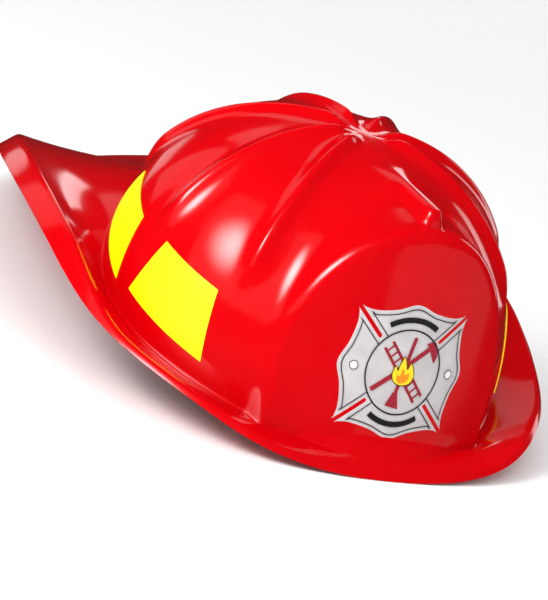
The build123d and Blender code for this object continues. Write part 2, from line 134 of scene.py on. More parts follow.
class HelmetFinish(bpy.types.PropertyGroup):
    """Colours of the helmet's finishes."""

    shell: bpy.props.StringProperty(name="Shell", description="Moulded shell, sRGB hex", default="#C70008")
    stripe: bpy.props.StringProperty(name="Stripe film", description="Bright film, sRGB hex", default="#FFF200")
    silver: bpy.props.StringProperty(name="Badge film", description="Silver film, sRGB hex", default="#D0CCCD")
    band: bpy.props.StringProperty(name="Bands", description="Bands and straps, sRGB hex", default="#E9E8E2")
    stud: bpy.props.StringProperty(name="Studs", description="Studs and rivets, sRGB hex", default="#1B1B1D")
    foam: bpy.props.StringProperty(name="Foam", description="Brow and crown pads, sRGB hex", default="#3A3B3F")


class HelmetStage(bpy.types.PropertyGroup):
    """Camera and light."""

    distance: bpy.props.FloatProperty(
        name="Camera distance", description="From the camera to the dome's axis", default=2.868, unit="LENGTH")
    lens: bpy.props.FloatProperty(
        name="Focal length", description="Focal length for a 36 mm sensor", default=382.8, unit="CAMERA")
    floor: bpy.props.StringProperty(name="Floor", description="Floor colour, sRGB hex", default="#F6F6F6")


# ---------------------------------------------------------------- the shell's form


def ease(start, end, value):
    share = np.clip((value - start) / (end - start), 0.0, 1.0)
    return share * share * (3 - 2 * share)


def soft_max(a, b, blend):
    near = np.maximum(blend - np.abs(a - b), 0.0) / blend
    return np.maximum(a, b) + near * near * blend / 4


def soft_min(a, b, blend):
    return -soft_max(-a, -b, blend)


def plain_dome(turn, rise, inset):
    """The dome without its seams and shield. turn is 0 at the front and pi at the rear."""
    side, front = np.sin(turn), np.cos(turn)
    reach = np.where(front > 0, DOME_FRONT, DOME_REAR) - inset
    fold_x = (DOME_HALF_WIDTH - inset) * side * (1 - DOME_EGG * front * front)
    fold_y = -reach * front * (1 - DOME_EGG * side * side)
    fold_z = FOLD_HEIGHT - FOLD_TILT * front + FOLD_ARCH * np.cos(2 * turn)
    lean, climb = np.maximum(np.cos(rise), 0.0), np.sin(rise)
    norm = (lean ** DOME_POWER + climb ** DOME_POWER) ** (1 / DOME_POWER)
    out, up = lean / norm, climb / norm
    return fold_x * out, fold_y * out, fold_z + (CROWN_HEIGHT - inset - fold_z) * up


def seam_height(turn, x, y, z, inset):
    """Height of the raised seams at a point of the plain dome."""
    radius = np.hypot(x, y)
    width = (SEAM_WIDTH - inset / 2) * (1 - np.exp(-radius / (2 * HUB_RADIUS))) + 1e-9
    total = 0.0
    for angle in SEAM_ANGLES:
        foot = REAR_SEAM_FOOT if angle == 180 else SEAM_FOOT
        across = np.abs(turn - radians(angle)) * radius / width
        total = total + SEAM_HEIGHT * ease(*foot, z) / (1 + across * across) ** 2
    return total * ease(HUB_RADIUS, 2.8 * HUB_RADIUS, radius)


def shield_blend(reach, fold_reach, dx, dy, dz, height, inset):
    """The dome's reach along a ray once the shield is cut into it and stands out of it."""
    bow = dx * dx / (2 * SHIELD_RADIUS)
    fall = SHIELD_LEAN * dz - dy
    offset = SHIELD_LEAN * (CORE_HEIGHT - SHIELD_MIDDLE) - (SHIELD_DEPTH - inset)
    face = -2 * offset / (fall + np.sqrt(np.maximum(fall * fall - 4 * bow * offset, 1e-9)))
    down = 1 - np.clip(height / SHIELD_FOOT, 0.0, 1.0)
    face = face + np.maximum(fold_reach - face, 0.0) * (1 - np.sqrt(1 - down * down))
    arch = np.hypot(dx / (SHIELD_HALF_WIDTH - inset), np.maximum(dz, 0.0) / (SHIELD_RISE - inset))
    flank = (1 + SHIELD_DRAFT * SHIELD_DEPTH) / (arch - SHIELD_DRAFT * dy)
    block = soft_min(face, flank, SHIELD_EDGE)
    beside = soft_max(reach, block, SHIELD_ROOT)
    shaped = beside + (block - beside) * ease(0.0, 2 * SHIELD_EDGE, flank - face)
    return reach + (shaped - reach) * ease(0.05, 0.3, -dy)


def crest_rise(reach, dx, dy, dz, hub_distance, inset):
    """How much the crest and its blunt finial add along a ray from the core."""
    climb, ahead = np.maximum(dz, 0.05), np.maximum(-dy, 0.05)
    ridge = soft_min((CREST_HEIGHT - 2 * inset) / climb, (CREST_FRONT - 3 * inset) / ahead, SHIELD_ROOT)
    angle = np.degrees(np.arctan2(dz, -dy))
    across = np.abs(dx) * reach
    spread = np.exp(-((across / (CREST_SPREAD - inset)) ** 1.6))
    blunt = np.exp(-((across / FINIAL_HALF_WIDTH) ** 4))
    share = spread + (blunt - spread) * ease(*FINIAL_ANGLES, angle)
    share = share * ease(*CREST_LOW_ANGLES, angle) * ease(HUB_RADIUS, 3 * HUB_RADIUS, hub_distance)
    return np.maximum(ridge - reach, 0.0) * share


def dome(turn, rise, inset=0.0):
    """Points of the moulded dome. inset is how far they lie inside the outer surface."""
    x, y, z = plain_dome(turn, rise, inset)
    reach = np.sqrt(x * x + y * y + (z - CORE_HEIGHT) ** 2)
    dx, dy, dz = x / reach, y / reach, (z - CORE_HEIGHT) / reach
    fold_reach = reach
    reach = reach + seam_height(turn, x, y, z, inset)
    height = z - plain_dome(turn, rise * 0, inset)[2]
    shaped = shield_blend(reach, fold_reach, dx, dy, dz, height, inset)
    crested = shaped + np.where(dz > 0.2, crest_rise(shaped, dx, dy, dz, np.hypot(x, y), inset), 0.0)
    reach = np.where(dy < 0, crested, reach)
    return np.stack([dx * reach, dy * reach, CORE_HEIGHT + dz * reach], axis=-1)


def brim_controls():
    """Control points of half the brim's lower edge, from the front to the tail."""
    half = DOME_HALF_WIDTH + BRIM_SIDE
    front = -(DOME_FRONT + BRIM_FRONT)
    tail = DOME_REAR + TAIL_LENGTH
    return np.array([
        (0, front, 0), (0.42 * half, front, 0), (0.745 * half, 0.75 * front, 16),
        (0.965 * half, 0.22 * front, 20.5), (half, 0.125 * tail, 42.3), (0.755 * half, 0.627 * tail, 34.5),
        (0.165 * half, 0.976 * tail, 11 - TAIL_DROP), (0, tail, -TAIL_DROP),
    ])


def spline_point(controls, share):
    """A point of the clamped uniform cubic B-spline with these control points."""
    spans = len(controls) - 3
    knots = [0.0] * 3 + [i / spans for i in range(spans + 1)] + [1.0] * 3
    share = min(max(share, 0.0), 1 - 1e-9)
    span = 3 + int(share * spans)
    points = [controls[span - 3 + j] for j in range(4)]
    for level in range(1, 4):
        for j in range(3, level - 1, -1):
            low, high = knots[j + span - 3], knots[j + 1 + span - level]
            part = (share - low) / (high - low)
            points[j] = points[j - 1] * (1 - part) + points[j] * part
    return points[3]


def brim_edges(turns):
    """For each turn, the brim's lower edge, the level outward direction there and the lip's height."""
    controls = brim_controls()
    edge = np.array([spline_point(controls, turn / pi) for turn in turns])
    step = 0.002
    ahead = np.array([spline_point(controls, min(turn / pi + step, 1)) for turn in turns])
    behind = np.array([spline_point(controls, max(turn / pi - step, 0)) for turn in turns])
    along = ahead - behind
    squared = ease(0, 2 * TAIL_LIP_DROP, edge[:, 0])
    outward = np.stack([along[:, 1] * squared, -along[:, 0], along[:, 0] * 0], axis=-1)
    outward /= np.linalg.norm(outward, axis=-1, keepdims=True)
    lip = LIP_DROP + (TAIL_LIP_DROP - LIP_DROP) * ease(*TAIL_LIP_ANGLES, np.degrees(turns))
    return edge, outward, lip[:, None]


def corner_rows(before, corner, after, run, count):
    """Rows of points round a corner: a curve that leaves each side run away from the corner."""
    rows = []
    back, on = before - corner, after - corner
    back_length = np.linalg.norm(back, axis=-1, keepdims=True)
    on_length = np.linalg.norm(on, axis=-1, keepdims=True)
    start = corner + back / back_length * np.minimum(run, 0.45 * back_length)
    end = corner + on / on_length * np.minimum(run, 0.45 * on_length)
    for i in range(count):
        share = i / (count - 1)
        rows.append(start * (1 - share) ** 2 + corner * 2 * share * (1 - share) + end * share * share)
    return rows


def straight_rows(start, end, count):
    """Rows of points strictly between two rows."""
    return [start + (end - start) * (i + 1) / (count + 1) for i in range(count)]


def dome_rows(turns, inset, low):
    """Rows of points from just above the fold, at rise low, to the crown."""
    rows = []
    for i in range(RISES + 1):
        share = i / RISES
        rise = low + (pi / 2 - low) * (0.35 * share + 0.65 * share ** 1.6)
        rows.append(dome(turns, rise, inset))
    return rows


def shell_rows(shape):
    """Rows of points over half the shell, from the crown down the outside and back up the inside."""
    share = np.linspace(0.0, 1.0, TURNS + 1)
    turns = pi * (share - 0.55 * np.sin(2 * pi * share) / (2 * pi))
    fold_run, crease_run = shape.fold_round / MM, shape.crease_round / MM
    edge, outward, lip = brim_edges(turns)
    crease = edge - outward * lip * LIP_SLOPE + np.array([0, 0, 1]) * lip
    edge_inner = edge - outward * WALL
    crease_inner = crease - outward * WALL * 0.7 - np.array([0, 0, WALL])
    fold = dome(turns, turns * 0)
    fold_inner = dome(turns, turns * 0, WALL) - np.array([0, 0, WALL])
    outside = dome_rows(turns, 0.0, np.full_like(turns, radians(1.5)))
    inside = dome_rows(turns, WALL, np.full_like(turns, radians(1.0)))
    rows = list(reversed(outside))
    rows += corner_rows(outside[0], fold, crease, fold_run, 5)
    bend = corner_rows(fold, crease, edge, crease_run, 5)
    rows += straight_rows(rows[-1], bend[0], 10) + bend
    rim = corner_rows(crease, edge, edge_inner, WALL / 2, 4)
    rows += straight_rows(rows[-1], rim[0], 2) + rim
    rim_inner = corner_rows(edge, edge_inner, crease_inner, WALL / 2, 4)
    rows += rim_inner[1:]
    bend = corner_rows(edge_inner, crease_inner, fold_inner, crease_run, 4)
    rows += straight_rows(rows[-1], bend[0], 2) + bend
    bend = corner_rows(crease_inner, fold_inner, inside[0], fold_run, 4)
    rows += straight_rows(rows[-1], bend[0], 8) + bend + inside[1:]
    rows = np.array(rows)
    rows[:, 0, 0] = 0.0
    rows[:, -1, 0] = 0.0
    return rows


def rest_placement():
    """Tips the helmet onto its front edge and tail, and turns millimetres into metres."""
    front, tail = brim_controls()[0], brim_controls()[-1]
    tip = atan2(front[2] - tail[2], tail[1] - front[1])
    turn = np.array([(1, 0, 0), (0, cos(tip), -sin(tip)), (0, sin(tip), cos(tip))])
    ends = [turn @ point for point in (front, tail)]
    return turn, np.array([0, -(ends[0][1] + ends[1][1]) / 2, -ends[0][2]])


TURN, MOVE = rest_placement()


def placed(points):
    """Points of the untipped helmet, in millimetres, moved into the frame, in metres."""
    return (np.asarray(points, float) @ TURN.T + MOVE) * MM


# ---------------------------------------------------------------- pieces


def clear_selection():
    if bpy.context.object and bpy.context.object.mode != "OBJECT":
        bpy.ops.object.mode_set(mode="OBJECT")
    bpy.ops.object.select_all(action="DESELECT")


def make_active(obj):
    clear_selection()
    obj.select_set(True)
    bpy.context.view_layer.objects.active = obj


def grid_sheet(name, points):
    """A sheet of four-sided faces through rows of points, from a grid whose corners are moved to them."""
    rows, columns = points.shape[:2]
    clear_selection()
    bpy.ops.mesh.primitive_grid_add(x_subdivisions=columns - 1, y_subdivisions=rows - 1, size=1)
    obj = bpy.context.object
    if len(obj.data.vertices) != rows * columns:
        raise RuntimeError(f"{name}: the grid has {len(obj.data.vertices)} corners, not {rows * columns}")
    obj.name = obj.data.name = name
    obj.data.vertices.foreach_set("co", points.reshape(-1).astype(np.float32))
    obj.data.update()
    return obj


def in_edit_mode(obj, *steps):
    """Runs edit-mode operators, each given with its settings, on all of a piece."""
    make_active(obj)
    bpy.ops.object.mode_set(mode="EDIT")
    for operator, settings in steps:
        bpy.ops.mesh.select_all(action="SELECT")
        operator(**settings)
    bpy.ops.object.mode_set(mode="OBJECT")


def add_modifier(obj, kind, apply=True, **settings):
    make_active(obj)
    modifier = obj.modifiers.new(kind.title(), kind)
    for name, value in settings.items():
        setattr(modifier, name, value)
    if apply:
        bpy.ops.object.modifier_apply(modifier=modifier.name)


def smooth(obj, angle=40.0):
    make_active(obj)
    bpy.ops.object.shade_smooth_by_angle(angle=radians(angle))


def node_copy(node, name):
    """A copy of a CAD node with its loose triangles merged, to be worked on as a piece."""
    obj = frame["nodes"][node].copy()
    obj.data = frame["nodes"][node].data.copy()
    for key in list(obj.keys()):
        del obj[key]
    obj.parent = None
    obj.name = obj.data.name = name
    bpy.context.collection.objects.link(obj)
    obj.hide_viewport = obj.hide_render = False
    in_edit_mode(obj, (bpy.ops.mesh.remove_doubles, {"threshold": MERGE}))
    return obj


def finish_piece(obj, body, material, slot, *nodes):
    obj.data.materials.clear()
    obj.data.materials.append(material)
    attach(obj, body)
    if nodes:
        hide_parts(*nodes)


# ---------------------------------------------------------------- materials


def linear(text, tone=1.0):
    """An sRGB hex colour as linear values, made lighter or darker by tone."""
    values = [int(text[i:i + 2], 16) / 255 for i in (1, 3, 5)]
    return tuple(tone * (v / 12.92 if v <= 0.04045 else ((v + 0.055) / 1.055) ** 2.4) for v in values) + (1.0,)


def add_node(tree, kind, inputs=None, **settings):
    """Adds a node. inputs gives each input's value, or the output that feeds it."""
    node = tree.nodes.new(kind)
    for name, value in settings.items():
        setattr(node, name, value)
    for name, value in (inputs or {}).items():
        if isinstance(value, bpy.types.NodeSocket):
            tree.links.new(value, node.inputs[name])
        else:
            node.inputs[name].default_value = value
    return node


def per_mm(size):
    """Scale of a pattern that repeats about every size millimetres."""
    return 1 / (size * MM)


def new_material(name, inputs):
    """A material with its surface shader and the piece's own coordinates."""
    material = bpy.data.materials.new(name)
    material.use_nodes = True
    tree = material.node_tree
    tree.nodes.clear()
    shader = add_node(tree, "ShaderNodeBsdfPrincipled", inputs)
    add_node(tree, "ShaderNodeOutputMaterial", {"Surface": shader.outputs[0]})
    place = add_node(tree, "ShaderNodeTexCoord").outputs["Object"]
    return material, tree, shader, place


def noise(tree, place, size, detail=2.0, roughness=0.5):
    settings = {"Vector": place, "Scale": per_mm(size), "Detail": detail, "Roughness": roughness}
    return add_node(tree, "ShaderNodeTexNoise", settings).outputs[0]


def spread(tree, value, low, high):
    """Takes a pattern's middle range to low and high."""
    settings = {"Value": value, "From Min": 0.3, "From Max": 0.7, "To Min": low, "To Max": high}
    return add_node(tree, "ShaderNodeMapRange", settings).outputs[0]


def shades(tree, value, *stops):
    """Colours along a pattern, each given as (position, hex) or (position, hex, tone)."""
    ramp = add_node(tree, "ShaderNodeValToRGB", {"Fac": value})
    elements = ramp.color_ramp.elements
    while len(elements) < len(stops):
        elements.new(0.5)
    for element, (position, *colour) in zip(elements, stops):
        element.position = position
        element.color = linear(*colour)
    return ramp.outputs[0]


def bump(tree, height, depth, distance, below=None):
    inputs = {"Height": height, "Strength": depth, "Distance": distance * MM}
    if below is not None:
        inputs["Normal"] = below
    return add_node(tree, "ShaderNodeBump", inputs).outputs[0]


def feed(tree, shader, **outputs):
    for name, output in outputs.items():
        tree.links.new(output, shader.inputs[name.replace("_", " ")])


def shell_material(finish):
    """High-impact polystyrene, injection moulded in a polished tool: deep even red under a hard clear
    gloss, with reflections that waver a little where the wall has shrunk, and a trace of handling haze."""
    material, tree, shader, place = new_material("Polystyrene moulded gloss red", {
        "Base Color": linear(finish.shell), "Roughness": 0.12, "IOR": 1.5,
    })
    tint = shades(tree, noise(tree, place, 60, 3), (0.3, finish.shell, 0.945), (0.7, finish.shell, 1.058))
    haze = spread(tree, noise(tree, place, 18, 5), 0.09, 0.14)
    shrink = bump(tree, noise(tree, place, 26, 1), 0.12, 0.25)
    peel = bump(tree, noise(tree, place, 2.2, 1), 0.03, 0.02, shrink)
    feed(tree, shader, Base_Color=tint, Roughness=haze, Normal=peel)
    return material


def stripe_material(finish):
    """Fluorescent vinyl film, cast and die-cut: smooth, with the fine weave of its carrier just showing. The real
    film looks brighter than white paper in daylight; here that brightness is a painted glow, an emission that
    shines the same under any light."""
    material, tree, shader, place = new_material("Vinyl film fluorescent yellow", {
        "Base Color": linear(finish.stripe), "Roughness": 0.32, "IOR": 1.5,
        # Emission: a painted glow in the film's own yellow that stands in for its fluorescent brightness.
        "Emission Color": linear(finish.stripe), "Emission Strength": 0.35,
    })
    tint = shades(tree, noise(tree, place, 14, 2), (0.3, finish.stripe, 0.98), (0.7, finish.stripe))
    cells = add_node(tree, "ShaderNodeTexVoronoi", {"Vector": place, "Scale": per_mm(1.4)}).outputs["Distance"]
    feed(tree, shader, Base_Color=tint, Normal=bump(tree, cells, 0.04, 0.05))
    return material


def silver_material(finish):
    """Metallised polyester label, printed on its face: a soft grey sheen with fine grain."""
    material, tree, shader, place = new_material("Polyester label metallised silver", {
        "Base Color": linear(finish.silver), "Metallic": 0.1, "Roughness": 0.38, "IOR": 1.5,
    })
    tint = shades(tree, noise(tree, place, 9, 3), (0.3, finish.silver, 0.925), (0.7, finish.silver, 1.065))
    grain = spread(tree, noise(tree, place, 0.6, 2), 0.32, 0.44)
    feed(tree, shader, Base_Color=tint, Roughness=grain)
    return material


def ink_material(name, low, high):
    """Screen-printed ink: flat and even, with slightly uneven cover."""
    material, tree, shader, place = new_material(name, {
        "Base Color": linear(high), "Roughness": 0.36, "IOR": 1.5,
    })
    feed(tree, shader, Base_Color=shades(tree, noise(tree, place, 1.5, 3), (0.35, low), (0.65, high)))
    return material


def moulded_material(name, dark, light, roughness, translucent):
    """Polyethylene or nylon from a spark-finished tool: satin, faintly waxy, with a fine even grit
    drawn at 0.7 mm, which is coarser than the real one so that it shows."""
    material, tree, shader, place = new_material(name, {
        "Base Color": linear(light), "Roughness": roughness, "IOR": 1.5, "Subsurface Weight": translucent,
        "Subsurface Radius": (0.003, 0.003, 0.0025), "Subsurface Scale": 1.0,
    })
    tint = shades(tree, noise(tree, place, 22, 4), (0.3, dark), (0.7, light))
    rough = spread(tree, noise(tree, place, 5, 4), roughness - 0.06, roughness + 0.08)
    grit = bump(tree, noise(tree, place, 0.7, 2), 0.18, 0.06)
    feed(tree, shader, Base_Color=tint, Roughness=rough, Normal=grit)
    return material


def foam_material(finish):
    """Open-cell polyurethane foam, skived from a block: dull, pitted with cells about 0.9 mm across, with painted
    shade darkening each pit.
    """
    material, tree, shader, place = new_material("Polyurethane foam open cell", {
        "Base Color": linear(finish.foam), "Roughness": 0.95, "IOR": 1.45, "Sheen Weight": 0.3,
        "Sheen Roughness": 0.6,
    })
    cells = add_node(tree, "ShaderNodeTexVoronoi", {"Vector": place, "Scale": per_mm(0.9)}).outputs["Distance"]
    # Painted shade: the dark stop sits where the bump is lowest, so each cell's pit is painted darker.
    tint = shades(tree, cells, (0.0, "#1E1F22"), (0.45, finish.foam))
    feed(tree, shader, Base_Color=tint, Normal=bump(tree, cells, 0.7, 0.4))
    return material


# ---------------------------------------------------------------- operators


class HELMET_OT_shell(bpy.types.Operator):
    """Builds the moulded shell: dome, seams, front shield, crest and turned-down brim"""

    bl_idname = "helmet.shell"
    bl_label = "Shell"

    def execute(self, context):
        half = shell_rows(context.scene.helmet_shape)
        other = half[:, ::-1] * np.array([-1, 1, 1])
        shell = grid_sheet("shell_moulding", placed(np.concatenate([half, other[:, 1:]], axis=1)))
        in_edit_mode(
            shell,
            (bpy.ops.mesh.remove_doubles, {"threshold": MERGE}),
            (bpy.ops.mesh.normals_make_consistent, {"inside": False}),
        )
        smooth(shell, 50)
        finish_piece(shell, "helmet", shell_material(context.scene.helmet_finish), "shell", "shell")
        return {"FINISHED"}


def stripe_points(angle, side, columns=40, rows=26):
    """Points of a strip of film that lies on the dome, wider at its lower edge."""
    heading = radians(angle)
    tangent = np.array([cos(heading), sin(heading), 0])
    low, top = radians(STRIPE_RISE[0]), radians(STRIPE_RISE[1])
    span = np.linspace(heading - 0.35, heading + 0.35, 200)
    points = []
    for j in range(rows):
        share = j / (rows - 1)
        rise = low + (top - low) * share
        across = dome(span, np.full_like(span, rise), -FILM_GAP) @ tangent
        width = STRIPE_LOW_WIDTH + (STRIPE_TOP_WIDTH - STRIPE_LOW_WIDTH) * share
        turns = np.interp(np.linspace(-width / 2, width / 2, columns), across, span)
        sag = STRIPE_SAG * (heading - turns) / radians(STRIPE_HALF_TURN)
        points.append(dome(turns, rise - sag, -FILM_GAP))
    return np.array(points) * np.array([side, 1, 1])


class HELMET_OT_stripes(bpy.types.Operator):
    """Lays the four bright film stripes on the dome"""

    bl_idname = "helmet.stripes"
    bl_label = "Film stripes"

    def execute(self, context):
        material = stripe_material(context.scene.helmet_finish)
        for name, angle in STRIPE_ANGLES.items():
            for word, side in (("left", 1), ("right", -1)):
                points = stripe_points(angle, side)
                if side > 0:
                    points = points[:, ::-1]
                film = grid_sheet(f"{name}_stripe_film_{word}", placed(points))
                add_modifier(film, "SOLIDIFY", thickness=FILM * MM, offset=-1.0)
                smooth(film)
                finish_piece(film, "helmet", material, "yellow_film", f"{name}_stripe_{word}")
        return {"FINISHED"}


def on_shield(points, layer):
    """Flat points (across, up) in millimetres laid on the shield's face, layer millimetres off it."""
    points = np.asarray(points, float)
    x, up = points[..., 0], points[..., 1]
    y = x * x / (2 * SHIELD_RADIUS) - SHIELD_DEPTH + SHIELD_LEAN * up - layer
    return placed(np.stack([x, y, SHIELD_MIDDLE + up], axis=-1))


def round_path(points, count):
    """A smooth closed or open path through points, by Catmull-Rom arcs."""
    points = np.asarray(points, float)
    closed = np.allclose(points[0], points[-1])
    if closed:
        points = points[:-1]
        padded = np.concatenate([points[-1:], points, points[:2]])
    else:
        padded = np.concatenate([2 * points[:1] - points[1:2], points, 2 * points[-1:] - points[-2:-1]])
    path = []
    for a, b, c, d in zip(padded, padded[1:], padded[2:], padded[3:]):
        for i in range(count):
            t = i / count
            path.append(0.5 * (2 * b + (c - a) * t + (2 * a - 5 * b + 4 * c - d) * t * t
                               + (3 * b - a - 3 * c + d) * t ** 3))
    path.append(padded[-2])
    return np.array(path)


def arc_path(radius, start, end, count=48):
    angles = np.radians(np.linspace(start, end, count))
    return np.stack([radius * np.cos(angles), radius * np.sin(angles)], axis=-1)


def badge_side(width, height, count=10):
    """One curved side of the badge, from its left corner to its right corner."""
    points = [(-width, height)] + [(s * width, height + b) for s, b in BADGE_EDGE] + [(width, height)]
    return round_path(points, count)


def quarter_turn(points, turns):
    """Points turned clockwise by a number of quarter turns."""
    for _ in range(turns):
        points = np.stack([points[..., 1], -points[..., 0]], axis=-1)
    return points


def badge_outline():
    """Outline of the label: four flared arms with a slot between each two."""
    w, h = BADGE_HALF_WIDTH, BADGE_HALF_HEIGHT
    outline = []
    for turns in range(4):
        width, height = (w, h) if turns % 2 == 0 else (h, w)
        side = badge_side(width, height)
        reach = hypot(width, height)
        along, across = np.array([width, height]) / reach, np.array([-height, width]) / reach
        start = BADGE_RING + 2.5
        keep = [p for p in side
                if abs(p @ across) > BADGE_SLOT / 2 and abs(p @ (across * (-1, 1))) > BADGE_SLOT / 2]
        out = sqrt(reach ** 2 - (BADGE_SLOT / 2) ** 2) - 0.6
        slot = [along * out + across * BADGE_SLOT / 2, along * start + across * BADGE_SLOT / 2]
        bottom = [along * start + across * BADGE_SLOT / 2 * cos(a) - along * BADGE_SLOT / 2 * sin(a)
                  for a in np.linspace(0, pi / 2, 4)[1:]]
        mirrored = [p * (-1, 1) for p in reversed(slot + bottom)]
        outline += [quarter_turn(np.array(p), turns) for p in mirrored + keep + slot + bottom]
    return np.array(outline)


def arm_line(turns, inset=1.8):
    """Line just inside the edge of one arm, from the ring out, round and back to the ring."""
    w, h = BADGE_HALF_WIDTH, BADGE_HALF_HEIGHT
    width, height = (w, h) if turns % 2 == 0 else (h, w)
    reach = hypot(width, height)
    along, across = np.array([width, height]) / reach, np.array([-height, width]) / reach
    off = BADGE_SLOT / 2 + inset
    start = along * sqrt(BADGE_RING ** 2 - off ** 2) + across * off
    side = badge_side(width, height) - np.array([0, inset])
    keep = [p for p in side if p @ across > off and (p * (-1, 1)) @ across > off]
    corner = along * ((height - inset - across[1] * off) / along[1]) + across * off
    return quarter_turn(np.array([start * (-1, 1), corner * (-1, 1)] + keep + [corner, start]), turns)


def ribbon(name, path, width, layer):
    """A printed line of even width along a path."""
    path = np.asarray(path, float)
    closed = np.allclose(path[0], path[-1])
    fine = [path[0]]
    for a, b in zip(path, path[1:]):
        steps = max(1, int(np.linalg.norm(b - a) / (0.8 * STRIP)))
        fine += [a + (b - a) * (i + 1) / steps for i in range(steps)]
    path = np.array(fine)
    before = np.concatenate([path[-2:-1] if closed else path[:1], path[:-1]])
    after = np.concatenate([path[1:], path[1:2] if closed else path[-1:]])
    along = after - before
    along /= np.linalg.norm(along, axis=-1, keepdims=True)
    normal = np.stack([-along[:, 1], along[:, 0]], axis=-1)
    return grid_sheet(name, on_shield(np.array([path - normal * width / 2, path + normal * width / 2]), layer))


def patch(name, outline, layer):
    """A printed area inside an outline, cut into strips so that it follows the shield's bow."""
    clear_selection()
    curve = bpy.data.curves.new(name, "CURVE")
    curve.dimensions = "2D"
    curve.fill_mode = "BOTH"
    spline = curve.splines.new("POLY")
    spline.points.add(len(outline) - 1)
    for point, (x, y) in zip(spline.points, outline):
        point.co = (x, y, 0, 1)
    spline.use_cyclic_u = True
    obj = bpy.data.objects.new(name, curve)
    bpy.context.collection.objects.link(obj)
    make_active(obj)
    bpy.ops.object.convert(target="MESH")
    obj = bpy.context.object
    low, high = outline[:, 0].min(), outline[:, 0].max()
    cuts = [(bpy.ops.mesh.bisect, {"plane_co": (x, 0, 0), "plane_no": (1, 0, 0)})
            for x in np.arange(low + STRIP, high, STRIP)]
    in_edit_mode(obj, (bpy.ops.mesh.remove_doubles, {"threshold": 1e-4}), *cuts,
                 (bpy.ops.mesh.normals_make_consistent, {"inside": False}))
    flat = np.array([v.co[:2] for v in obj.data.vertices])
    obj.data.vertices.foreach_set("co", on_shield(flat, layer).reshape(-1).astype(np.float32))
    obj.data.update()
    return obj


def join_pieces(name, pieces):
    clear_selection()
    for piece in pieces:
        piece.select_set(True)
    bpy.context.view_layer.objects.active = pieces[0]
    bpy.ops.object.join()
    pieces[0].name = pieces[0].data.name = name
    return pieces[0]


def print_layer(name, pieces, thickness, material):
    """Joins printed shapes, turns them to face out and gives them the thickness of their layer."""
    layer = join_pieces(name, pieces)
    facing = Vector(TURN @ np.array([0, -1, 0]))
    for polygon in layer.data.polygons:
        if polygon.normal.dot(facing) < 0:
            polygon.flip()
    layer.data.update()
    add_modifier(layer, "SOLIDIFY", thickness=thickness * MM, offset=-1.0)
    finish_piece(layer, "helmet", material, "silver_film")
    return layer


# The plain emblem, in millimetres from the badge's middle, drawn for a ring of 17.3 mm.
EMBLEM = BADGE_RING / 17.3
FLAME = ((-0.6, -5.4), (-4.2, -3.8), (-5.3, -0.6), (-4.2, 2.4), (-3.0, 0.6), (-2.4, 3.2), (-0.9, 6.3), (0.6, 3.4),
         (1.4, 1.4), (2.6, 4.0), (4.3, 1.6), (5.2, -1.4), (3.8, -4.4), (-0.6, -5.4))
FLAME_HEART = ((-0.3, -4.6), (-2.6, -3.2), (-2.9, -1.0), (-1.6, -1.6), (-0.6, 1.6), (0.9, -0.9), (2.4, -0.2),
               (2.7, -2.8), (-0.3, -4.6))
AXE_HEAD = ((8.0, 12.2), (10.2, 9.9), (11.8, 7.0), (13.6, 4.4), (14.6, 7.2), (14.2, 10.4), (12.4, 13.0),
            (11.0, 13.4), (8.0, 12.2))
AXE_HANDLE = ((-13.2, -8.4), (10.4, 10.6))
POLE = ((-1.6, -9.0), (2.2, 14.4))
NOZZLE = ((-5.2, -14.0), (1.2, -15.0), (-0.6, -8.6), (-2.8, -8.4))
LADDER_LEAN = radians(-47)
LADDER_HALF_WIDTH = 2.1
LADDER_HALF_LENGTH = 14.2
RUNG_GAP = 3.1
BADGE_BARS = ((58, 122), (238, 302))     # plain bars where a maker might letter
DOT_OUT = 6.0
DOT_RADIUS = 1.9
INK = 0.03
STRIP = 1.5          # widest strip of print that bends to the shield as one flat face


